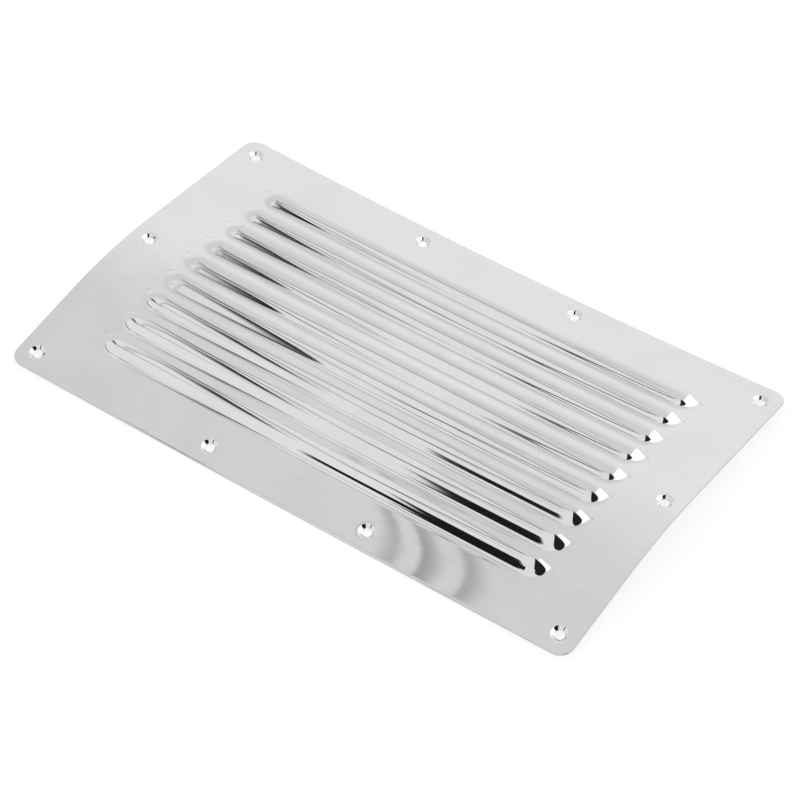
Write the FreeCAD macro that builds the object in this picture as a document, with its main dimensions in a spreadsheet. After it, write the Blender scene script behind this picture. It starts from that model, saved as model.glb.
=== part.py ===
import FreeCAD, Part
import Sketcher
import math
import os

# A ventilation panel pressed from one sheet of stainless steel, in millimetres.
# X runs along the louvres, +Y is the side that the louvre mouths face, +Z is up.
# The sheet is slightly arched and lies on the screw seats near its two long edges.
# The origin is at the middle of its footprint, on the surface it lies on.

drivingSizes = [
    ("panelLength", 340.0, "along the louvres"),
    ("panelWidth", 207.0, "front edge to back edge, measured along the sheet"),
    ("gauge", 0.8, "thickness of the sheet"),
    ("cornerRadius", 7.5, "rounding of the four corners"),
    ("bowAngle", 14.3, "turn of the whole arch, in degrees"),
    ("bendLand", 0.8, "flat left between a bend and the louvre beside it"),
    ("louvrePitch", 17.1, "from one slot to the next"),
    ("frontMargin", 39.5, "front edge to the first slot"),
    ("slotMargin", 32.0, "short edge to the tip of each slot"),
    ("hoodDepth", 11.0, "foot of the hood to its slot"),
    ("hoodRise", 4.0, "crest of the hood above the sheet"),
    ("endInset", 10.3, "holes in from the short ends"),
    ("sideInset", 11.0, "holes in from the long edges"),
    ("innerSpacing", 96.4, "between the two inner holes of a long edge"),
    ("screwHole", 5.0, "diameter of the screw holes"),
    ("seatWidth", 11.2, "diameter of the pressed seat round a hole"),
    ("seatSlope", 28.0, "slope of the seat's cone, in degrees"),
]

louvreCount = 9
bendCount = 4
louvresBeforeBend = 2

doc = FreeCAD.newDocument("louvrePanel")
sizes = doc.addObject("Spreadsheet::Sheet", "Sizes")
for row, (alias, value, note) in enumerate(drivingSizes, start=1):
    sizes.set(f"A{row}", alias)
    sizes.set(f"B{row}", str(value))
    sizes.set(f"C{row}", note)
    sizes.setAlias(f"B{row}", alias)
doc.recompute()


def size(alias):
    return float(getattr(sizes, alias))


def originPlane(body, role):
    """The body's own origin feature with this role, such as XY_Plane."""
    for feature in body.Origin.OriginFeatures:
        if feature.Role == role:
            return feature
    raise ValueError(role)


def addBody(label):
    body = doc.addObject("PartDesign::Body", label)
    body.Label = label
    return body


def addSketch(body, name, role, height=None):
    """A sketch on an origin plane, lifted by an expression where one is given."""
    sketch = body.newObject("Sketcher::SketchObject", name)
    sketch.AttachmentSupport = [(originPlane(body, role), "")]
    sketch.MapMode = "FlatFace"
    if height:
        sketch.setExpression("AttachmentOffset.Base.z", height)
    return sketch


def addLine(sketch, start, end):
    vectors = [FreeCAD.Vector(x, y, 0) for x, y in (start, end)]
    return sketch.addGeometry(Part.LineSegment(*vectors), False)


def addArc(sketch, centre, radius, fromDegrees, toDegrees):
    """An arc drawn anticlockwise from one angle to the other."""
    circle = Part.Circle(FreeCAD.Vector(*centre, 0), FreeCAD.Vector(0, 0, 1), radius)
    angles = math.radians(fromDegrees), math.radians(toDegrees)
    return sketch.addGeometry(Part.ArcOfCircle(circle, *angles), False)


def hold(sketch, kind, *parts, bind=None):
    """Adds a constraint, and ties its value to the sheet where bind is given."""
    index = sketch.addConstraint(Sketcher.Constraint(kind, *parts))
    if bind:
        sketch.setExpression(f"Constraints[{index}]", bind)
    return index


# Where a louvre or a hole sits on the arched sheet


def bendTurn():
    return size("bowAngle") / bendCount


def bendRadius():
    """Inside radius of each small bend, which fills the web between two louvres."""
    web = size("louvrePitch") - size("hoodDepth") - 2 * size("bendLand")
    return web / math.radians(bendTurn())


def flatLengths():
    """Lengths of the flats between the bends, from the front edge to the back."""
    pitch = size("louvrePitch")
    land = size("bendLand")
    held = size("hoodDepth") + 2 * land
    front = size("frontMargin") + (louvresBeforeBend - 1) * pitch + land
    middle = [held] * (bendCount - 1)
    bends = bendCount * bendRadius() * math.radians(bendTurn())
    back = size("panelWidth") - front - sum(middle) - bends
    return [front] + middle + [back]


def sheetStretches():
    """Flats and bends of the sheet's underside as (length, turn in degrees)."""
    stretches = []
    bend = (bendRadius() * math.radians(bendTurn()), bendTurn())
    for flat in flatLengths():
        stretches += [(flat, 0.0), bend]
    return stretches[:-1]


def walkStretches(run, slope, stretches):
    """Place (y, z, slope) at this run along the underside, starting at 0, 0."""
    y, z = 0.0, 0.0
    for length, turn in stretches:
        part = min(max(run, 0.0), length)
        turned = turn * part / length
        chord = part
        if turned:
            half = math.radians(turned) / 2
            chord = part * math.sin(half) / half
        heading = math.radians(slope - turned / 2)
        y += chord * math.cos(heading)
        z += chord * math.sin(heading)
        slope -= turned
        run -= length
        if run <= 0:
            break
    return y, z, slope


def levelPlace(run):
    """Place (y, z, slope) on the underside with both long edges at one height."""
    width = size("panelWidth")
    y, z, _ = walkStretches(width, 0.0, sheetStretches())
    slope = -math.degrees(math.atan2(z, y))
    depth = math.hypot(y, z)
    y, z, lean = walkStretches(run, slope, sheetStretches())
    return y - depth / 2, z, lean


def seatFoot():
    """Rim of the hole under a pressed seat, as its radius and depth below the sheet."""
    rim, hole = size("seatWidth") / 2, size("screwHole") / 2
    return hole, (rim - hole) * math.tan(math.radians(size("seatSlope")))


def restTurn():
    """Turn about X that sets the sheet down on its edge or seats, whichever hang lower."""
    radius, depth = seatFoot()
    width, inset = size("panelWidth"), size("sideInset")
    lows = []
    for edge, hole, side in ((0.0, inset, -1), (width, width - inset, 1)):
        y, z, slope = levelPlace(hole)
        cosine, sine = math.cos(math.radians(slope)), math.sin(math.radians(slope))
        seat = (z + side * radius * sine - depth * cosine, y + side * radius * cosine)
        lows.append(min(seat, (levelPlace(edge)[1], levelPlace(edge)[0])))
    (frontLow, frontY), (backLow, backY) = lows
    lean = math.degrees(math.atan2(backLow - frontLow, backY - frontY))
    return FreeCAD.Rotation(FreeCAD.Vector(1, 0, 0), -lean)


def placeOnSheet(run, x=0.0):
    """Placement on the underside, square to the sheet, at a run from the front edge."""
    y, z, slope = levelPlace(run)
    turn = FreeCAD.Rotation(FreeCAD.Vector(1, 0, 0), slope)
    rest = FreeCAD.Placement(FreeCAD.Vector(), restTurn())
    return rest.multiply(FreeCAD.Placement(FreeCAD.Vector(x, y, z), turn))


# The arched blank


def drawSheetSection(sketch):
    """Side view of the arched sheet: flats joined by small bends, one gauge thick."""
    flats = flatLengths()
    radius = bendRadius()
    gauge = size("gauge")
    y, z, slope = levelPlace(0.0)
    lower, upper, inner, outer = [], [], [], []
    for index, flat in enumerate(flats):
        across = (math.cos(math.radians(slope)), math.sin(math.radians(slope)))
        rise = (-across[1], across[0])
        end = (y + flat * across[0], z + flat * across[1])
        lower.append(addLine(sketch, (y, z), end))
        top = [(p[0] + gauge * rise[0], p[1] + gauge * rise[1]) for p in ((y, z), end)]
        upper.append(addLine(sketch, *top))
        y, z = end
        if index == len(flats) - 1:
            break
        centre = (y - radius * rise[0], z - radius * rise[1])
        angles = (90 + slope - bendTurn(), 90 + slope)
        inner.append(addArc(sketch, centre, radius, *angles))
        outer.append(addArc(sketch, centre, radius + gauge, *angles))
        slope -= bendTurn()
        y = centre[0] + radius * math.cos(math.radians(90 + slope))
        z = centre[1] + radius * math.sin(math.radians(90 + slope))
    caps = []
    for lineEnd, side in ((1, 0), (2, -1)):
        ends = [sketch.getPoint(chain[side], lineEnd) for chain in (lower, upper)]
        caps.append(addLine(sketch, *[(p.x, p.y) for p in ends]))
        hold(sketch, "Coincident", caps[-1], 1, lower[side], lineEnd)
        hold(sketch, "Coincident", caps[-1], 2, upper[side], lineEnd)
        hold(sketch, "Perpendicular", caps[-1], lower[side])
        hold(sketch, "Parallel", upper[side], lower[side])
    for index in range(bendCount):
        for lines, arcs in ((lower, inner), (upper, outer)):
            hold(sketch, "Tangent", lines[index], 2, arcs[index], 2)
            hold(sketch, "Tangent", arcs[index], 1, lines[index + 1], 1)
        hold(sketch, "Coincident", inner[index], 3, outer[index], 3)
        web = "(Sizes.louvrePitch - Sizes.hoodDepth - 2 * Sizes.bendLand)"
        turn = f"Sizes.bowAngle / {bendCount}"
        reach = f"{web} / ({turn} * pi / 180)"
        hold(sketch, "Radius", inner[index], radius, bind=reach)
        hold(sketch, "Radius", outer[index], radius + gauge, bind=f"{reach} + Sizes.gauge")
        hold(sketch, "Angle", inner[index], math.radians(bendTurn()), bind=f"{turn} * 1 deg")
    front = f"Sizes.frontMargin + {louvresBeforeBend - 1} * Sizes.louvrePitch + Sizes.bendLand"
    held = "Sizes.hoodDepth + 2 * Sizes.bendLand"
    taken = f"({front}) - {bendCount - 1} * ({held}) - {bendCount} * {web}"
    lengths = [front] + [held] * (bendCount - 1) + [f"Sizes.panelWidth - {taken}"]
    for line, flat, words in zip(lower, flats, lengths):
        hold(sketch, "Distance", line, flat, bind=words)
    hold(sketch, "PointOnObject", lower[0], 1, -1)
    hold(sketch, "Symmetric", lower[0], 1, lower[-1], 2, -1, 1)


def makeBlank():
    """The arched sheet with its four rounded corners."""
    body = addBody("arched_sheet")
    section = addSketch(body, "sheet_section", "YZ_Plane")
    drawSheetSection(section)
    pad = body.newObject("PartDesign::Pad", "sheet_pad")
    pad.Profile = section
    pad.SideType = "Symmetric"
    pad.setExpression("Length", "Sizes.panelLength")
    doc.recompute()
    corners = []
    for number, edge in enumerate(pad.Shape.Edges, start=1):
        box = edge.BoundBox
        atEnd = abs(box.Center.x) > size("panelLength") / 2 - size("gauge")
        if atEnd and edge.Length < 1.5 * size("gauge"):
            corners.append(f"Edge{number}")
    rounding = body.newObject("PartDesign::Fillet", "corner_rounding")
    rounding.Base = (pad, corners)
    rounding.setExpression("Radius", "Sizes.cornerRadius")
    body.Tip = rounding
    body.Placement = FreeCAD.Placement(FreeCAD.Vector(), restTurn())
    return body


# One louvre: a slot, and the hood raised in front of it


def shoulderRadius():
    """Outside radius of the hood's back, which is level at the slot."""
    depth, rise = size("hoodDepth"), size("hoodRise")
    return (depth**2 + rise**2) / (2 * rise)


def drawHoodSection(sketch):
    """Section of the pressed hood, from its foot to the slot at the vertical axis."""
    depth, rise, gauge = size("hoodDepth"), size("hoodRise"), size("gauge")
    shoulder = shoulderRadius()
    centre = gauge + rise - shoulder
    lean = math.degrees(math.asin(depth / shoulder))
    underLean = math.degrees(math.acos(-centre / (shoulder - gauge)))
    fold = -(shoulder - gauge) * math.sin(math.radians(underLean))
    backTop = addArc(sketch, (0.0, centre), shoulder, 90, 90 + lean)
    backUnder = addArc(sketch, (0.0, centre), shoulder - gauge, 90, 90 + underLean)
    footEdge = addLine(sketch, (-depth, 0), (-depth, gauge))
    slotEdge = addLine(sketch, (0, rise), (0, rise + gauge))
    footUnder = addLine(sketch, (-depth, 0), (fold, 0))
    hold(sketch, "Coincident", backUnder, 3, backTop, 3)
    hold(sketch, "Coincident", footEdge, 2, backTop, 2)
    hold(sketch, "Coincident", footEdge, 1, footUnder, 1)
    hold(sketch, "Coincident", footUnder, 2, backUnder, 2)
    hold(sketch, "Coincident", slotEdge, 1, backUnder, 1)
    hold(sketch, "Coincident", slotEdge, 2, backTop, 1)
    hold(sketch, "Vertical", footEdge)
    hold(sketch, "Vertical", slotEdge)
    hold(sketch, "PointOnObject", footUnder, 1, -1)
    hold(sketch, "Horizontal", footUnder)
    hold(sketch, "PointOnObject", slotEdge, 1, -2)
    hold(sketch, "PointOnObject", backTop, 3, -2)
    hold(sketch, "Distance", footEdge, gauge, bind="Sizes.gauge")
    hold(sketch, "Distance", slotEdge, gauge, bind="Sizes.gauge")
    hold(sketch, "DistanceX", footEdge, 1, -1, 1, depth, bind="Sizes.hoodDepth")
    hold(sketch, "DistanceY", -1, 1, slotEdge, 1, rise, bind="Sizes.hoodRise")


def makeHood(number, place):
    """The hood of one louvre, with a quarter-round end at each tip of its slot."""
    body = addBody(f"hood_{number}")
    section = addSketch(body, f"hood_section_{number}", "YZ_Plane")
    drawHoodSection(section)
    run = body.newObject("PartDesign::Pad", f"hood_run_{number}")
    run.Profile = section
    run.SideType = "Symmetric"
    endPlane = "Sizes.panelLength / 2 - Sizes.slotMargin - Sizes.hoodDepth"
    run.setExpression("Length", f"2 * ({endPlane})")
    endSection = addSketch(body, f"end_section_{number}", "YZ_Plane", endPlane)
    drawHoodSection(endSection)
    turned = body.newObject("PartDesign::Revolution", f"hood_end_{number}")
    turned.Profile = endSection
    turned.ReferenceAxis = (endSection, ["V_Axis"])
    turned.Angle = 90
    mirrored = body.newObject("PartDesign::Mirrored", f"other_end_{number}")
    mirrored.Originals = [turned]
    mirrored.MirrorPlane = (originPlane(body, "YZ_Plane"), [""])
    body.Tip = mirrored
    body.Placement = place
    return body


def makeSlotTool(number, place):
    """What is cut from the sheet where a hood rises: its plan, with round ends."""
    body = addBody(f"hood_plan_{number}")
    plan = addSketch(body, f"plan_{number}", "XY_Plane")
    half, depth = size("panelLength") / 2 - size("slotMargin"), size("hoodDepth")
    centre = half - depth
    slotLength = "Sizes.panelLength - 2 * Sizes.slotMargin"
    back = addLine(plan, (-half, 0), (half, 0))
    right = addArc(plan, (centre, 0), depth, -90, 0)
    front = addLine(plan, (centre, -depth), (-centre, -depth))
    left = addArc(plan, (-centre, 0), depth, 180, 270)
    hold(plan, "Coincident", back, 2, right, 2)
    hold(plan, "Tangent", right, 1, front, 1)
    hold(plan, "Tangent", front, 2, left, 2)
    hold(plan, "Coincident", left, 1, back, 1)
    hold(plan, "PointOnObject", right, 3, back)
    hold(plan, "PointOnObject", left, 3, back)
    hold(plan, "Horizontal", back)
    hold(plan, "Symmetric", back, 1, back, 2, -1, 1)
    hold(plan, "DistanceX", back, 1, back, 2, 2 * half, bind=slotLength)
    hold(plan, "Radius", right, depth, bind="Sizes.hoodDepth")
    hold(plan, "Equal", left, right)
    cutter = body.newObject("PartDesign::Pad", f"plan_cutter_{number}")
    cutter.Profile = plan
    cutter.SideType = "Symmetric"
    cutter.setExpression("Length", "6 * Sizes.gauge")
    body.Placement = place
    return body


# A screw hole: a pressed conical seat, and the hole through it


def drawSeatSection(sketch):
    """Half section of the pressed seat, which thins as the sheet is stretched into a cone."""
    gauge, rim, inner = size("gauge"), size("seatWidth") / 2, size("screwHole") / 4
    tilt = math.radians(size("seatSlope"))
    drop = (rim - inner) * math.tan(tilt)
    corners = [(rim, 0), (rim, gauge), (inner, gauge - drop), (inner, -drop)]
    following = corners[1:] + corners[:1]
    lines = [addLine(sketch, start, end) for start, end in zip(corners, following)]
    rimEdge, coneTop, innerEdge, coneUnder = lines
    for line, nextLine in zip(lines, lines[1:] + lines[:1]):
        hold(sketch, "Coincident", line, 2, nextLine, 1)
    hold(sketch, "Vertical", rimEdge)
    hold(sketch, "Vertical", innerEdge)
    hold(sketch, "Parallel", coneUnder, coneTop)
    hold(sketch, "PointOnObject", rimEdge, 1, -1)
    hold(sketch, "Distance", rimEdge, gauge, bind="Sizes.gauge")
    hold(sketch, "DistanceX", -1, 1, rimEdge, 1, rim, bind="Sizes.seatWidth / 2")
    hold(sketch, "DistanceX", -1, 1, innerEdge, 1, inner, bind="Sizes.screwHole / 4")
    upright = "90 deg - Sizes.seatSlope * 1 deg"
    hold(sketch, "Angle", coneTop, 1, rimEdge, 2, math.pi / 2 - tilt, bind=upright)


def makeSeat(number, place):
    """The pressed seat round one screw hole, square to the sheet."""
    body = addBody(f"seat_{number}")
    section = addSketch(body, f"seat_section_{number}", "XZ_Plane")
    drawSeatSection(section)
    turned = body.newObject("PartDesign::Revolution", f"seat_turned_{number}")
    turned.Profile = section
    turned.ReferenceAxis = (section, ["V_Axis"])
    turned.Angle = 360
    body.Placement = place
    return body


def makeSeatTool(number, place):
    """The disc of flat sheet that a pressed seat takes the place of."""
    disc = doc.addObject("Part::Cylinder", f"seat_disc_{number}")
    disc.setExpression("Radius", "Sizes.seatWidth / 2")
    disc.setExpression("Height", "6 * Sizes.gauge")
    down = FreeCAD.Placement(FreeCAD.Vector(0, 0, -3 * size("gauge")), FreeCAD.Rotation())
    disc.Placement = place.multiply(down)
    return disc


def makeHoleTool(number, place):
    """The punch of one screw hole, upright so that all the holes are parallel."""
    punch = doc.addObject("Part::Cylinder", f"screw_hole_{number}")
    punch.setExpression("Radius", "Sizes.screwHole / 2")
    punch.setExpression("Height", "2 * Sizes.seatWidth")
    at = FreeCAD.Vector(place.Base)
    at.z -= size("seatWidth")
    punch.Placement = FreeCAD.Placement(at, FreeCAD.Rotation())
    return punch


def louvrePlaces():
    """Where each slot lies, at the middle of its length."""
    first, pitch = size("frontMargin"), size("louvrePitch")
    return [placeOnSheet(first + index * pitch) for index in range(louvreCount)]


def holePlaces():
    """Four holes along each long edge, and one in the middle of each short end."""
    width, inset = size("panelWidth"), size("sideInset")
    outer, inner = size("panelLength") / 2 - size("endInset"), size("innerSpacing") / 2
    rows, places = (inset, width - inset), (-outer, -inner, inner, outer)
    along = [placeOnSheet(run, x) for run in rows for x in places]
    ends = [placeOnSheet(width / 2, x) for x in (-outer, outer)]
    return along + ends


def join(kind, name, *shapes):
    """A boolean of the document, its first shape being the base of a cut."""
    result = doc.addObject(f"Part::{kind}", name)
    if kind == "Cut":
        result.Base, result.Tool = shapes
    else:
        result.Shapes = list(shapes)
    return result


def makePanel():
    """Blank, louvres and screw holes joined into one pressed sheet."""
    louvres = list(enumerate(louvrePlaces(), start=1))
    holes = list(enumerate(holePlaces(), start=1))
    blank = makeBlank()
    cutters = [makeSlotTool(*louvre) for louvre in louvres]
    cutters += [makeSeatTool(*hole) for hole in holes]
    opened = join("Cut", "opened_sheet", blank, join("MultiFuse", "cutters", *cutters))
    pressed = [makeHood(*louvre) for louvre in louvres]
    pressed += [makeSeat(*hole) for hole in holes]
    formed = join("MultiFuse", "formed_sheet", opened, *pressed)
    punches = join("MultiFuse", "punches", *[makeHoleTool(*hole) for hole in holes])
    panel = join("Cut", "pressed_panel", formed, punches)
    panel.Label = "louvre_panel"
    doc.recompute()
    panel.Placement.Base.z -= panel.Shape.optimalBoundingBox().ZMin
    return panel


def checkDocument():
    """Stops if any object failed or any solid is empty, broken or in pieces."""
    for item in doc.Objects:
        if set(item.State) & {"Invalid", "Error"}:
            raise RuntimeError(f"{item.Name}: {item.State}")
        if hasattr(item, "Shape") and item.TypeId != "Sketcher::SketchObject":
            if item.isDerivedFrom("App::Plane") or item.isDerivedFrom("App::Line"):
                continue
            if item.Shape.isNull() or not item.Shape.isValid():
                raise RuntimeError(f"{item.Name}: bad shape")


panel = makePanel()
doc.recompute()
checkDocument()
if len(panel.Shape.Solids) != 1:
    raise RuntimeError("the panel is not one solid")

os.makedirs("parts", exist_ok=True)
panel.Shape.exportStep(f"parts/{panel.Label}.step")
box = panel.Shape.optimalBoundingBox()
print(f"{panel.Label}: {panel.Shape.Volume:.1f} mm3, {len(panel.Shape.Faces)} faces")
print(f"box {box.XMin:.2f}..{box.XMax:.2f}, {box.YMin:.2f}..{box.YMax:.2f}, {box.ZMin:.2f}..{box.ZMax:.2f}")
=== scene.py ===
import math

import bmesh
import bpy
from mathutils import Matrix, Vector


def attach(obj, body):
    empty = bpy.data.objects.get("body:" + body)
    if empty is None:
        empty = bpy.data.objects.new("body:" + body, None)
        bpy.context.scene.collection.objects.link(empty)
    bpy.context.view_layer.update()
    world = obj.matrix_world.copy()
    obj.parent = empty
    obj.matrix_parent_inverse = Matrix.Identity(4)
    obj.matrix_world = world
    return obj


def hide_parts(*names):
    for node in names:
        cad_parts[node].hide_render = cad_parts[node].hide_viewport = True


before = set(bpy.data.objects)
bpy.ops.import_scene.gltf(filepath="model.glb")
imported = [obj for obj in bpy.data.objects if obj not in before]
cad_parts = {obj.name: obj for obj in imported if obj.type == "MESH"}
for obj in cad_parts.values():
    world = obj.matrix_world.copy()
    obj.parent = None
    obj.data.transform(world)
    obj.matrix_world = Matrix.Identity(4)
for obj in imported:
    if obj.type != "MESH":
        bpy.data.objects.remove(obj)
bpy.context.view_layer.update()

print("frame loaded:", sorted(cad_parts))


def makeObject(name, bm):
    mesh = bpy.data.meshes.new(name)
    bm.to_mesh(mesh)
    bm.free()
    made = bpy.data.objects.new(name, mesh)
    bpy.context.scene.collection.objects.link(made)
    return made


# The pressed sheet. It is laid out flat first: x along the louvres, y from the front
# edge to the back edge, z the height that the press gives it. Then it is bowed.

sheet = {
    "length": 0.340,
    "width": 0.2075,                # front edge to back edge along the bowed sheet
    "gauge": 0.0008,
    "cornerRadius": 0.0075,
    "bow": math.radians(14.35),     # whole turn from front edge to back edge
    "bowCentre": -0.0190,           # middle of the curved zone, from the sheet's middle
    "bowZone": 0.0633,
    "saddleFront": 0.0012,          # how far the corners stand above the middle
    "saddleBack": 0.0046,
    "edgeBevel": 0.00012,
    "bevelAngle": math.radians(50),     # edges sharper than this are bevelled
    "sharpAngle": math.radians(35),     # and those sharper than this are shaded sharp
}

louvre = {
    "count": 9,
    "pitch": 0.0170,
    "middleSlot": 0.0041,           # slot of the fifth louvre, from the sheet's middle
    "halfSlot": 0.138,
    "depth": 0.0120,                # slot to foot
    # Each hood's steepest slope in degrees, front to back, and the width that has it
    "leans": (31, 30, 31, 28, 28, 32, 34, 35, 35),
    "flanks": (0.0014, 0.0014, 0.0012, 0.0018, 0.0014, 0.0010, 0.0008, 0.0006, 0.0006),
    "crestLean": math.radians(4),   # slope left at the cut edge
    "hollow": 0.0068,               # radius of the soft hollow where the hood leaves the sheet
    "roundReach": 1.05,             # how far the mesh runs round a hood's end, in depths
}

seat = {
    "rimRadius": 0.0050,
    "lipRadius": 0.0016,
    "slope": math.radians(34),
    "holeRadius": 0.0025,
    "window": 0.0080,               # half the square of sheet that is rebuilt as rings
    "flatRing": 0.0012,             # flat ring of mesh outside the rim
    "lipRings": 5,
    "wallRings": 4,
    "endInset": 0.0103,
    "sideInset": 0.0110,
    "innerHole": 0.0482,
}

# How many mesh lines each strip of the flat sheet gets
strips = {
    "shoulder": 9,
    "flank": 3,
    "hollow": 6,
    "land": 4,                      # from a hood's foot to the next slot, or behind the last slot
    "seat": 12,
    "margin": 2,                    # on either side of a row of seats
    "betweenSeats": 8,
    "outsideSeats": 14,
}

touching = 1e-6                     # places this close, in metres, are one place


def spread(start, end, count):      # lines from start up to, but not with, end
    return [start + (end - start) * step / count for step in range(count)]


# Radius of the rounded shoulder, where it ends, where the hollow starts, and the height at the
# cut edge. The straight flank between shoulder and hollow has the steepest slope.
def hoodShape(number):
    lean, flank = math.radians(louvre["leans"][number]), louvre["flanks"][number]
    crestLean, hollow = louvre["crestLean"], louvre["hollow"]
    foot = louvre["depth"] - hollow * math.sin(lean)
    turn = foot - flank
    shoulder = turn / (math.sin(lean) - math.sin(crestLean))
    rise = hollow * (1 - math.cos(lean)) + flank * math.tan(lean)
    rise += shoulder * (math.cos(crestLean) - math.cos(lean))
    return shoulder, turn, foot, rise


def hoodHeight(distance, number):
    depth, crestLean, hollow = louvre["depth"], louvre["crestLean"], louvre["hollow"]
    shoulder, turn, foot, rise = hoodShape(number)
    if distance >= depth:
        return 0.0
    if distance > foot:
        return hollow - math.sqrt(hollow ** 2 - (depth - distance) ** 2)
    if distance > turn:
        lean = math.radians(louvre["leans"][number])
        return hollow * (1 - math.cos(lean)) + (foot - distance) * math.tan(lean)
    fromTop = distance + shoulder * math.sin(crestLean)
    return rise - shoulder * math.cos(crestLean) + math.sqrt(shoulder ** 2 - fromTop ** 2)


def hoodSteps():                    # distances from the slot at which the mesh has a line
    depth, pitch = louvre["depth"], louvre["pitch"]
    turn, foot = hoodShape(louvre["count"] // 2)[1:3]
    steps = spread(0, turn, strips["shoulder"]) + spread(turn, foot, strips["flank"])
    return steps + spread(foot, depth, strips["hollow"]) + spread(depth, pitch, strips["land"])


def slotLines():
    first = louvre["middleSlot"] - (louvre["count"] - 1) / 2 * louvre["pitch"]
    return [first + number * louvre["pitch"] for number in range(louvre["count"])]


def gridRows():
    half, window = sheet["width"] / 2, seat["window"]
    hole = half - seat["sideInset"]
    steps, slots = hoodSteps(), slotLines()
    front = spread(-half, -hole - window, strips["margin"])
    front += spread(-hole - window, -hole + window, strips["seat"])
    front += spread(-hole + window, slots[0] - steps[-1], strips["margin"])
    middle = [slot - step for slot in slots for step in reversed(steps)]
    back = spread(slots[-1], hole - window, strips["land"])[1:]
    back += spread(hole - window, hole + window, strips["seat"])
    return front + middle + back + spread(hole + window, half, strips["margin"]) + [half]


def gridColumns():
    half, window = sheet["length"] / 2, seat["window"]
    hole, inner = half - seat["endInset"], seat["innerHole"]
    endStart = louvre["halfSlot"] - louvre["depth"]
    right = spread(0, inner - window, strips["betweenSeats"])
    right += spread(inner - window, inner + window, strips["seat"])
    right += spread(inner + window, endStart, strips["outsideSeats"])
    right += [endStart + step for step in hoodSteps()]
    right += spread(endStart + louvre["pitch"], hole - window, strips["margin"])
    right += spread(hole - window, hole + window, strips["seat"]) + [hole + window, half]
    return [-x for x in reversed(right[1:])] + right


def holePlaces():
    outer, row = sheet["length"] / 2 - seat["endInset"], sheet["width"] / 2 - seat["sideInset"]
    inner = seat["innerHole"]
    places = [(x, y) for y in (-row, row) for x in (-outer, -inner, inner, outer)]
    return places + [(-outer, 0.0), (outer, 0.0)]


def flatGrid(bm):
    columns, rows = gridColumns(), gridRows()
    lastColumn, lastRow = len(columns) - 1, len(rows) - 1
    bmesh.ops.create_grid(bm, x_segments=lastColumn, y_segments=lastRow, size=1)
    for vert in bm.verts:
        column = round((vert.co.x + 1) / 2 * lastColumn)
        row = round((vert.co.y + 1) / 2 * lastRow)
        vert.co = (columns[column], rows[row], 0)
    return columns, rows


# Lances the slots: the sheet parts along each slot line, short of its two tips
def lanceSlots(bm):
    for slot in slotLines():
        cut = []
        for edge in bm.edges:
            ends = [vert.co for vert in edge.verts]
            onLine = all(abs(co.y - slot) < touching for co in ends)
            if onLine and all(abs(co.x) < louvre["halfSlot"] + touching for co in ends):
                cut.append(edge)
        bmesh.ops.split_edges(bm, edges=cut)


# Moves a point of the square grid round a hood's end onto circles about that end
def roundEnd(across, ahead):
    if across <= 0 or ahead <= 0:
        return across, ahead
    reach = max(across, ahead)
    squareFrom, squareTo = louvre["depth"] * louvre["roundReach"], louvre["pitch"]
    if across >= ahead:
        angle = math.pi / 4 * ahead / across
    else:
        angle = math.pi / 2 - math.pi / 4 * across / ahead
    share = min(max((reach - squareFrom) / (squareTo - squareFrom), 0), 1)
    onCircle = (reach * math.cos(angle), reach * math.sin(angle))
    return tuple(a + (b - a) * share for a, b in zip(onCircle, (across, ahead)))


# Presses the hoods: a vertex on a slot line belongs to the side its faces lie on
def pressHoods(bm):
    slots = slotLines()
    endStart = louvre["halfSlot"] - louvre["depth"]
    moves = []
    for vert in bm.verts:
        middleY = sum(face.calc_center_median().y for face in vert.link_faces)
        middleY /= len(vert.link_faces)
        ahead = [slot for slot in slots if slot > middleY]
        if not ahead or ahead[0] - vert.co.y > louvre["pitch"] + touching:
            continue
        slot = ahead[0]
        x, across, forward = vert.co.x, abs(vert.co.x) - endStart, slot - vert.co.y
        distance = forward
        if across > 0:
            across, forward = roundEnd(across, forward)
            distance = math.hypot(across, forward)
            x = math.copysign(endStart + across, x)
        height = hoodHeight(distance, slots.index(slot))
        moves.append((vert, (x, slot - forward, vert.co.z + height)))
    for vert, place in moves:
        vert.co = place


# Rings of one seat, from the flat sheet down to the hole, as (radius, height)
def seatRings():
    rim, lip, slope = seat["rimRadius"], seat["lipRadius"], seat["slope"]
    lipRings, wallRings = seat["lipRings"], seat["wallRings"]
    rings = [(rim + seat["flatRing"], 0.0)]
    for step in range(lipRings + 1):
        turn = slope * step / lipRings
        rings.append((rim - lip * math.sin(turn), -lip * (1 - math.cos(turn))))
    lastRadius, lastHeight = rings[-1]
    for step in range(1, wallRings + 1):
        radius = lastRadius + (seat["holeRadius"] - lastRadius) * step / wallRings
        rings.append((radius, lastHeight - (lastRadius - radius) * math.tan(slope)))
    return rings


def nearest(lines, value):
    return min(lines, key=lambda line: abs(line - value))


# Takes a square of the grid out round a hole and runs its border in, ring by ring
def pressSeat(bm, columns, rows, place):
    window = seat["window"]
    lowX, highX = (nearest(columns, place[0] + side * window) for side in (-1, 1))
    lowY, highY = (nearest(rows, place[1] + side * window) for side in (-1, 1))
    inside = []
    for face in bm.faces:
        middle = face.calc_center_median()
        if lowX < middle.x < highX and lowY < middle.y < highY:
            inside.append(face)
    edges = dict.fromkeys(edge for face in inside for edge in face.edges)   # each edge once
    border = [edge for edge in edges if sum(face in inside for face in edge.link_faces) == 1]
    bmesh.ops.delete(bm, geom=inside, context="FACES_KEEP_BOUNDARY")
    for radius, height in seatRings():
        made = bmesh.ops.extrude_edge_only(bm, edges=border)["geom"]
        border = [item for item in made if isinstance(item, bmesh.types.BMEdge)]
        for vert in [item for item in made if isinstance(item, bmesh.types.BMVert)]:
            out = Vector((vert.co.x - place[0], vert.co.y - place[1])).normalized()
            vert.co = (place[0] + out.x * radius, place[1] + out.y * radius, height)


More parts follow.
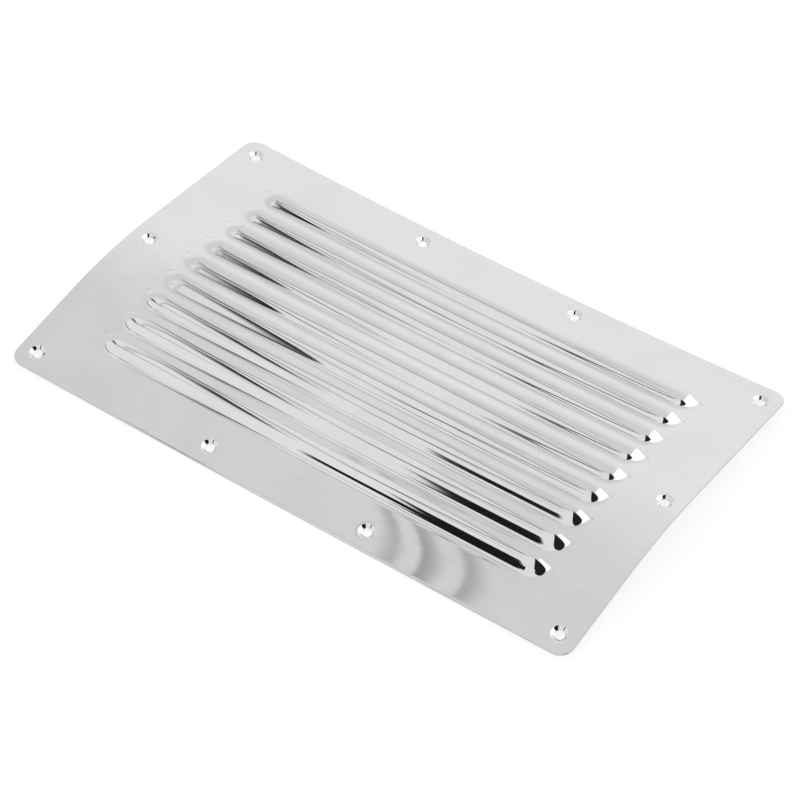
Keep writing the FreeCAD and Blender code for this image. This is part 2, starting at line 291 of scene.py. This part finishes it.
def roundCorners(bm):
    radius = sheet["cornerRadius"]
    centreX, centreY = sheet["length"] / 2 - radius, sheet["width"] / 2 - radius
    for vert in bm.verts:
        a, b = (abs(vert.co.x) - centreX) / radius, (abs(vert.co.y) - centreY) / radius
        if a <= 0 or b <= 0:
            continue
        x = centreX + radius * a * math.sqrt(1 - b * b / 2)
        y = centreY + radius * b * math.sqrt(1 - a * a / 2)
        vert.co.x = math.copysign(x, vert.co.x)
        vert.co.y = math.copysign(y, vert.co.y)


# Bows the sheet about x: flat, one arc, flat. The saddle lifts its corners a little.
def bowed(x, y, height):
    halfBow, halfZone = sheet["bow"] / 2, sheet["bowZone"] / 2
    radius = halfZone / halfBow
    run = y - sheet["bowCentre"]
    inArc = min(max(run, -halfZone), halfZone)
    beyond = run - inArc
    slope = -inArc / radius
    along = radius * math.sin(inArc / radius) + beyond * math.cos(slope)
    up = -radius * (1 - math.cos(inArc / radius)) + beyond * math.sin(slope)
    share = y / sheet["width"] + 0.5
    saddle = sheet["saddleFront"] * (1 - share) + sheet["saddleBack"] * share
    up -= saddle * (1 - (2 * x / sheet["length"]) ** 2)
    return Vector((x, along - height * math.sin(slope), up + height * math.cos(slope)))


# Sets the sheet down on the lowest points of its front and its back
def settle(mesh):
    turned = 0
    for _ in range(3):              # each turn may bring other points lowest
        low = [min((v.co for v in mesh.vertices if v.co.y * side > 0), key=lambda c: c.z)
               for side in (-1, 1)]
        lean = math.atan2(low[1].z - low[0].z, low[1].y - low[0].y)
        mesh.transform(Matrix.Rotation(-lean, 4, "X"))
        turned -= math.degrees(lean)
    places = [vert.co for vert in mesh.vertices]
    middleY = (min(co.y for co in places) + max(co.y for co in places)) / 2
    shift = Vector((0, -middleY, -min(co.z for co in places)))
    mesh.transform(Matrix.Translation(shift))
    print("sheet settled: turned by", round(turned, 3), "degrees, moved by", tuple(shift))


def pressSheet():
    bm = bmesh.new()
    columns, rows = flatGrid(bm)
    lanceSlots(bm)
    for place in holePlaces():
        pressSeat(bm, columns, rows, place)
    pressHoods(bm)
    roundCorners(bm)
    cutEdge = bm.verts.layers.float.new("cutEdge")      # one along every sheared edge
    for vert in bm.verts:
        vert[cutEdge] = 1.0 if vert.is_boundary else 0.0
        vert.co = bowed(*vert.co)
    bmesh.ops.recalc_face_normals(bm, faces=bm.faces)
    if sum(face.normal.z for face in bm.faces) < 0:
        bmesh.ops.reverse_faces(bm, faces=bm.faces)
    return makeObject("pressedSheet", bm)


# Gives the sheet its gauge below the pressed face, and eases its edges
def thickenSheet(pressed):
    wall = pressed.modifiers.new("gauge", "SOLIDIFY")
    wall.thickness = sheet["gauge"]
    wall.offset = -1
    edge = pressed.modifiers.new("edge", "BEVEL")
    edge.width = sheet["edgeBevel"]
    edge.segments = 2
    edge.limit_method = "ANGLE"
    edge.angle_limit = sheet["bevelAngle"]
    view = bpy.context.evaluated_depsgraph_get()
    finished = bpy.data.meshes.new_from_object(pressed.evaluated_get(view))
    pressed.modifiers.clear()
    pressed.data = finished
    finished.shade_smooth()
    finished.set_sharp_from_angle(angle=sheet["sharpAngle"])
    settle(finished)
    print("sheet:", len(finished.polygons), "faces",
          sum(len(p.vertices) - 2 for p in finished.polygons), "triangles")


panel = pressSheet()
thickenSheet(panel)

# Node helpers

def plug(tree, socket, value):
    if isinstance(value, bpy.types.NodeSocket):
        tree.links.new(value, socket)
    else:
        socket.default_value = value


def addNode(tree, kind, settings=None, **values):
    node = tree.nodes.new("ShaderNode" + kind)
    for name, value in (settings or {}).items():
        setattr(node, name, value)
    for name, value in values.items():
        plug(tree, node.inputs[name], value)
    return node


def plugInOrder(tree, node, values):
    for socket, value in zip(node.inputs, values):
        plug(tree, socket, value)
    return node


def reckon(tree, operation, *values):
    node = addNode(tree, "Math", {"operation": operation})
    return plugInOrder(tree, node, values).outputs[0]


# A soft step: low before start, high after end
def ramp(tree, value, start, end, low=0.0, high=1.0):
    node = addNode(tree, "MapRange", {"interpolation_type": "SMOOTHSTEP"})
    return plugInOrder(tree, node, (value, start, end, low, high)).outputs["Result"]


def fall(tree, value, start, end):
    return ramp(tree, value, start, end, 1.0, 0.0)


# One from low to high, with soft rims inside them
def band(tree, value, low, high, soft):
    return reckon(tree, "MULTIPLY", ramp(tree, value, low, low + soft),
                  fall(tree, value, high - soft, high))


# The Mix node keeps its sockets for numbers at 0, 2 and 3 and those for colours at 0, 6 and 7
def mixGreys(tree, share, grey, other):
    node = addNode(tree, "Mix")
    for number, value in ((0, share), (2, grey), (3, other)):
        plug(tree, node.inputs[number], value)
    return node.outputs[0]


def mixColors(tree, share, color, other):
    node = addNode(tree, "Mix", {"data_type": "RGBA"})
    for number, value in ((0, share), (6, color), (7, other)):
        plug(tree, node.inputs[number], value)
    return node.outputs[2]


def newGroup(name, inputs, outputs):
    group = bpy.data.node_groups.new(name, "ShaderNodeTree")
    for socket, kind, value in inputs:
        made = group.interface.new_socket(socket, in_out="INPUT", socket_type=kind)
        if value is not None:
            made.default_value = value
    for socket, kind in outputs:
        group.interface.new_socket(socket, in_out="OUTPUT", socket_type=kind)
    return group, group.nodes.new("NodeGroupInput"), group.nodes.new("NodeGroupOutput")


def placeGroup(tree, group, **values):
    node = tree.nodes.new("ShaderNodeGroup")
    node.node_tree = group
    for name, value in values.items():
        plug(tree, node.inputs[name], value)
    return node.outputs


# The polished steel

steel = {
    "color": (0.80, 0.80, 0.795, 1),
    "hazeColor": (0.755, 0.755, 0.75, 1),
    "edgeColor": (0.58, 0.58, 0.575, 1),
    "polish": 0.018,                # roughness of the clean polish
    "haze": 0.045,                  # and where the polish is hazed
    "edge": 0.32,                   # and on the sheared edges
    "edgeWear": (0.72, 0.98),       # how near to the cut the wear starts and is full
    "grainLength": 0.030,           # fine polishing lines along the louvres
    "grainWidth": 0.00045,
    "grainDepth": 0.0000007,
    "strandScale": 0.13,            # wider strands among the lines
    "strandRange": (0.42, 0.62),
    "strandShare": 0.2,             # strands' share of the haze, the rest is cloudy patches
    "patchSize": 0.045,
    "patchRange": (0.40, 0.68),
    "waveSize": 0.030,              # slow unevenness of thin sheet
    "waveDepth": 0.000010,
}


# Fine lines along x: a noise that is drawn out along the louvres
def makeGrainGroup():
    group, given, result = newGroup(
        "polishingLines",
        [("Vector", "NodeSocketVector", None), ("Length", "NodeSocketFloat", 0.03),
         ("Width", "NodeSocketFloat", 0.0005)],
        [("Height", "NodeSocketFloat"), ("Strands", "NodeSocketFloat")])
    stretch = addNode(group, "CombineXYZ",
                      X=reckon(group, "DIVIDE", 1.0, given.outputs["Length"]),
                      Y=reckon(group, "DIVIDE", 1.0, given.outputs["Width"]),
                      Z=reckon(group, "DIVIDE", 1.0, given.outputs["Width"]))
    place = addNode(group, "VectorMath", {"operation": "MULTIPLY"})
    plugInOrder(group, place, (given.outputs["Vector"], stretch.outputs[0]))
    lines = addNode(group, "TexNoise", Vector=place.outputs[0], Scale=1.0, Detail=3.0,
                    Roughness=0.6)
    wide = addNode(group, "TexNoise", Vector=place.outputs[0], Scale=steel["strandScale"],
                   Detail=2.0)
    plug(group, result.inputs["Height"], lines.outputs["Fac"])
    plug(group, result.inputs["Strands"], ramp(group, wide.outputs["Fac"], *steel["strandRange"]))
    return group


# Cloudy patches, as handling and polish leave on a bright sheet
def makePatchGroup():
    group, given, result = newGroup(
        "polishHaze", [("Vector", "NodeSocketVector", None), ("Size", "NodeSocketFloat", 0.05)],
        [("Mask", "NodeSocketFloat")])
    scale = reckon(group, "DIVIDE", 1.0, given.outputs["Size"])
    clouds = addNode(group, "TexNoise", Vector=given.outputs["Vector"], Scale=scale, Detail=5.0,
                     Roughness=0.55, Distortion=0.4)
    plug(group, result.inputs["Mask"], ramp(group, clouds.outputs["Fac"], *steel["patchRange"]))
    return group


def polishedStainless():
    material = bpy.data.materials.new("polishedStainless")
    material.use_nodes = True
    tree = material.node_tree
    shader = tree.nodes["Principled BSDF"]
    place = addNode(tree, "TexCoord").outputs["Object"]
    cut = addNode(tree, "Attribute", {"attribute_name": "cutEdge"}).outputs["Fac"]
    grain = placeGroup(tree, makeGrainGroup(), Vector=place, Length=steel["grainLength"],
                       Width=steel["grainWidth"])
    patches = placeGroup(tree, makePatchGroup(), Vector=place, Size=steel["patchSize"])["Mask"]
    worn = ramp(tree, cut, *steel["edgeWear"])
    hazed = reckon(tree, "MULTIPLY_ADD", grain["Strands"], steel["strandShare"],
                   reckon(tree, "MULTIPLY", patches, 1 - steel["strandShare"]))
    color = mixColors(tree, hazed, steel["color"], steel["hazeColor"])
    plug(tree, shader.inputs["Base Color"], mixColors(tree, worn, color, steel["edgeColor"]))
    gloss = ramp(tree, hazed, 0.0, 1.0, steel["polish"], steel["haze"])
    gloss = reckon(tree, "MULTIPLY_ADD", worn, steel["edge"] - steel["polish"], gloss)
    plug(tree, shader.inputs["Roughness"], gloss)
    shader.inputs["Metallic"].default_value = 1
    waves = addNode(tree, "TexNoise", Vector=place, Scale=1 / steel["waveSize"], Detail=1.0)
    slow = addNode(tree, "Bump", Strength=1.0, Distance=steel["waveDepth"],
                   Height=waves.outputs["Fac"])
    fine = addNode(tree, "Bump", Strength=1.0, Distance=steel["grainDepth"],
                   Height=grain["Height"], Normal=slow.outputs["Normal"])
    plug(tree, shader.inputs["Normal"], fine.outputs["Normal"])
    return material


panel.data.materials.clear()
panel.data.materials.append(polishedStainless())
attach(panel, "root")
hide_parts("louvre_panel")
print("sheet polished")

# Floor, light of the room and camera

studio = {
    "floorSize": 6.0,
    "floorColor": (0.42, 0.42, 0.42, 1),
    "floorGlow": 0.66,              # even white of the floor, on which its shading is added
    "surround": 0.85,
    "cameraPlace": (0.60454, -0.86194, 1.07052),
    "cameraTarget": (0.01425, -0.0169, 0.010),
    "cameraRoll": math.radians(0.595),
    "lens": 132.78,
    "sensor": 36.0,
    "clip": (0.05, 20),
}


# One for the camera and for rays that a mirror or glass sends on, nought for the rest
def seenDirectly(tree):
    path = addNode(tree, "LightPath").outputs
    seen = reckon(tree, "MAXIMUM", path["Is Camera Ray"], path["Is Glossy Ray"])
    return reckon(tree, "MAXIMUM", seen, path["Is Transmission Ray"])


def makeFloor():
    bm = bmesh.new()
    bmesh.ops.create_grid(bm, x_segments=1, y_segments=1, size=studio["floorSize"] / 2)
    floor = makeObject("floor", bm)
    material = bpy.data.materials.new("paleFloor")
    material.use_nodes = True
    tree = material.node_tree
    shader = tree.nodes["Principled BSDF"]
    shader.inputs["Base Color"].default_value = studio["floorColor"]
    shader.inputs["Roughness"].default_value = 1
    shader.inputs["Specular IOR Level"].default_value = 0
    shader.inputs["Emission Color"].default_value = (1, 1, 1, 1)
    plug(tree, shader.inputs["Emission Strength"],
         reckon(tree, "MULTIPLY", seenDirectly(tree), studio["floorGlow"]))
    material.cycles.emission_sampling = "NONE"          # its glow is only seen, and lights nothing
    floor.data.materials.append(material)


def makeWorld():
    world = bpy.data.worlds.new("paleRoom")
    world.use_nodes = True
    tree = world.node_tree
    shade = tree.nodes["Background"]
    shade.inputs["Color"].default_value = (1, 1, 1, 1)
    plug(tree, shade.inputs["Strength"],
         ramp(tree, seenDirectly(tree), 0, 1, studio["surround"], 1.0))
    bpy.context.scene.world = world


def makeCamera():
    data = bpy.data.cameras.new("camera")
    data.lens = studio["lens"]
    data.sensor_width = studio["sensor"]
    data.clip_start, data.clip_end = studio["clip"]
    camera = bpy.data.objects.new("camera", data)
    bpy.context.scene.collection.objects.link(camera)
    back = Vector(studio["cameraPlace"]) - Vector(studio["cameraTarget"])
    camera.location = studio["cameraPlace"]
    roll = Matrix.Rotation(studio["cameraRoll"], 3, "Z")
    camera.rotation_euler = (back.to_track_quat("Z", "Y").to_matrix() @ roll).to_euler()
    bpy.context.scene.camera = camera


# The white tent over the panel. Only reflections see it. Its pattern is laid out as on a
# plan seen from below: across runs with x and along with y, both nought at the zenith and
# one at the horizon. Greys are as the eye sees them in the steel. A band is given by its two
# ends and the width of its soft rims.

tent = {
    "radius": 2.0,
    "rim": 0.002,                   # height of its lower rim
    "gain": 1.28,                   # the steel gives back about four fifths
    "eye": 2.2,                     # turns the greys of the eye into amounts of light
    "roof": 0.800,
    "rearLift": 0.075,              # the rear wall is brighter than the roof
    "rearSpan": (0.10, 0.42),
    "frontLift": 0.060,             # and so is the front panel, below the arched hem
    "frontSpan": (-0.08, -0.02),
    "hem": (-2.576, -25.2, -60.0),  # its place along, and that place's slope and bend across
    "hemEdge": (-0.01, 0.02),
    "seamDepth": 0.15,              # darker seam along a part of the hem
    "seam": (-0.045, 0.020, 0.030),
    "seamAcross": (-0.29, -0.15, 0.02),
    "gapGrey": 0.12,                # narrow gap at the front, wider at its foot
    "gap": (-0.212, -0.163, 0.008),
    "gapTop": (-0.298, -0.278),
    "gapFoot": (-0.250, -0.150, 0.008),
    "gapFootTop": (-0.382, -0.376),
    "roomGrey": 0.15,               # dark room at the right of the tent, its sides leaning
    "roomLean": 0.5,
    "roomAlong": (-0.300, 0.010, 0.015),
    "roomAcross": (0.000, 0.480, 0.015),
    "cardGrey": 1.15,               # white card behind the room
    "cardAcross": (0.110, 0.450, 0.030),
    "cardAlong": (0.015, 0.560, 0.015),
}

# Creases: place across, its slope and bend along the tent, width on the left and right,
# where it starts (highest) and ends (lowest), how dark
creaseSockets = ("Place", "Slope", "Bend", "Left", "Right", "Start", "End", "Depth")
creases = [
    (-0.2520, -0.1000, 0.0, 0.020, 0.003, -0.030, -0.230, 0.72),
    (-0.2509, -0.3070, 0.0, 0.008, 0.008, 0.080, -0.125, 0.38),
    (-0.1224, 0.5300, 0.0, 0.014, 0.003, -0.030, -0.180, 0.65),
    (-0.4233, -1.6000, 0.0, 0.022, 0.014, -0.112, -0.172, 0.50),
    (-0.6750, -1.7700, 0.0, 0.150, 0.028, -0.030, -0.260, 0.58),
    (-0.8962, 10.88, -42.0, 0.0060, 0.0015, 0.168, 0.100, 0.15),
    (-0.8887, 10.88, -42.0, 0.0015, 0.0070, 0.168, 0.100, 0.20),
    (-0.8764, 10.88, -42.0, 0.0015, 0.0070, 0.168, 0.100, 0.17),
]


def makeCreaseGroup():
    names = ("Across", "Along") + creaseSockets
    group, given, result = newGroup(
        "tentCrease", [(name, "NodeSocketFloat", 0.0) for name in names],
        [("Shade", "NodeSocketFloat")])
    get = given.outputs
    bend = reckon(group, "MULTIPLY_ADD", get["Bend"], get["Along"], get["Slope"])
    line = reckon(group, "MULTIPLY_ADD", bend, get["Along"], get["Place"])
    off = reckon(group, "SUBTRACT", get["Across"], line)
    left = ramp(group, off, reckon(group, "MULTIPLY", get["Left"], -1.0), 0.0)
    right = fall(group, off, 0.0, get["Right"])
    third = reckon(group, "DIVIDE", reckon(group, "SUBTRACT", get["Start"], get["End"]), 3.0)
    above = fall(group, get["Along"], reckon(group, "SUBTRACT", get["Start"], third),
                 get["Start"])
    below = ramp(group, get["Along"], get["End"], reckon(group, "ADD", get["End"], third))
    mask = reckon(group, "MULTIPLY", reckon(group, "MULTIPLY", left, right),
                  reckon(group, "MULTIPLY", above, below))
    plug(group, result.inputs["Shade"], reckon(group, "MULTIPLY", mask, get["Depth"]))
    return group


def tentPlan(tree):
    unit = addNode(tree, "VectorMath", {"operation": "NORMALIZE"})
    plug(tree, unit.inputs[0], addNode(tree, "TexCoord").outputs["Object"])
    parts = addNode(tree, "SeparateXYZ", Vector=unit.outputs[0]).outputs
    lift = reckon(tree, "ADD", parts["Z"], 1.0)
    return reckon(tree, "DIVIDE", parts["X"], lift), reckon(tree, "DIVIDE", parts["Y"], lift)


# Roof, rear wall and front panel, with the seam along the front panel's hem
def tentPanels(tree, across, along):
    place, slope, bend = tent["hem"]
    hem = reckon(tree, "MULTIPLY_ADD", across, bend, slope)
    hem = reckon(tree, "MULTIPLY_ADD", hem, across, place)
    under = reckon(tree, "SUBTRACT", hem, along)
    front = reckon(tree, "MAXIMUM", ramp(tree, under, *tent["hemEdge"]),
                   fall(tree, along, *tent["frontSpan"]))
    grey = ramp(tree, along, *tent["rearSpan"], tent["roof"], tent["roof"] + tent["rearLift"])
    grey = reckon(tree, "MULTIPLY_ADD", front, tent["frontLift"], grey)
    seam = reckon(tree, "MULTIPLY", band(tree, under, *tent["seam"]),
                  band(tree, across, *tent["seamAcross"]))
    return reckon(tree, "MULTIPLY_ADD", seam, -tent["seamDepth"], grey)


def tentCreases(tree, across, along, grey):
    group = makeCreaseGroup()
    for crease in creases:
        shade = placeGroup(tree, group, Across=across, Along=along,
                           **dict(zip(creaseSockets, crease)))["Shade"]
        grey = reckon(tree, "SUBTRACT", grey, shade)
    return grey


# What shows past the tent: the gap at the front, the dark room and the white card
def tentOpenings(tree, across, along, grey):
    gap = reckon(tree, "MULTIPLY", band(tree, across, *tent["gap"]),
                 fall(tree, along, *tent["gapTop"]))
    foot = reckon(tree, "MULTIPLY", band(tree, across, *tent["gapFoot"]),
                  fall(tree, along, *tent["gapFootTop"]))
    grey = mixGreys(tree, reckon(tree, "MAXIMUM", gap, foot), grey, tent["gapGrey"])
    leaning = reckon(tree, "MULTIPLY_ADD", along, tent["roomLean"], across)
    room = reckon(tree, "MULTIPLY", band(tree, along, *tent["roomAlong"]),
                  band(tree, leaning, *tent["roomAcross"]))
    grey = mixGreys(tree, room, grey, tent["roomGrey"])
    card = reckon(tree, "MULTIPLY", band(tree, across, *tent["cardAcross"]),
                  band(tree, along, *tent["cardAlong"]))
    return mixGreys(tree, card, grey, tent["cardGrey"])


def tentCloth():
    material = bpy.data.materials.new("tentCloth")
    material.use_nodes = True
    tree = material.node_tree
    tree.nodes.remove(tree.nodes["Principled BSDF"])
    across, along = tentPlan(tree)
    grey = tentPanels(tree, across, along)
    grey = tentCreases(tree, across, along, grey)
    grey = tentOpenings(tree, across, along, grey)
    light = reckon(tree, "MULTIPLY", reckon(tree, "POWER", grey, tent["eye"]), tent["gain"])
    glow = addNode(tree, "Emission", Strength=light)
    plug(tree, tree.nodes["Material Output"].inputs["Surface"], glow.outputs[0])
    material.cycles.emission_sampling = "NONE"          # only reflections meet it
    return material


def makeTent():
    bm = bmesh.new()
    bmesh.ops.create_uvsphere(bm, u_segments=64, v_segments=32, radius=tent["radius"])
    bmesh.ops.bisect_plane(bm, geom=bm.verts[:] + bm.edges[:] + bm.faces[:],
                           plane_co=(0, 0, tent["rim"]), plane_no=(0, 0, 1), clear_inner=True)
    bmesh.ops.reverse_faces(bm, faces=bm.faces)
    cloth = makeObject("whiteTent", bm)
    cloth.data.materials.append(tentCloth())
    for ray in ("camera", "diffuse", "transmission", "volume_scatter", "shadow"):
        setattr(cloth, "visible_" + ray, False)


makeFloor()
makeWorld()
makeTent()
makeCamera()
bpy.context.scene.view_settings.view_transform = "Standard"
print("stage and camera made")
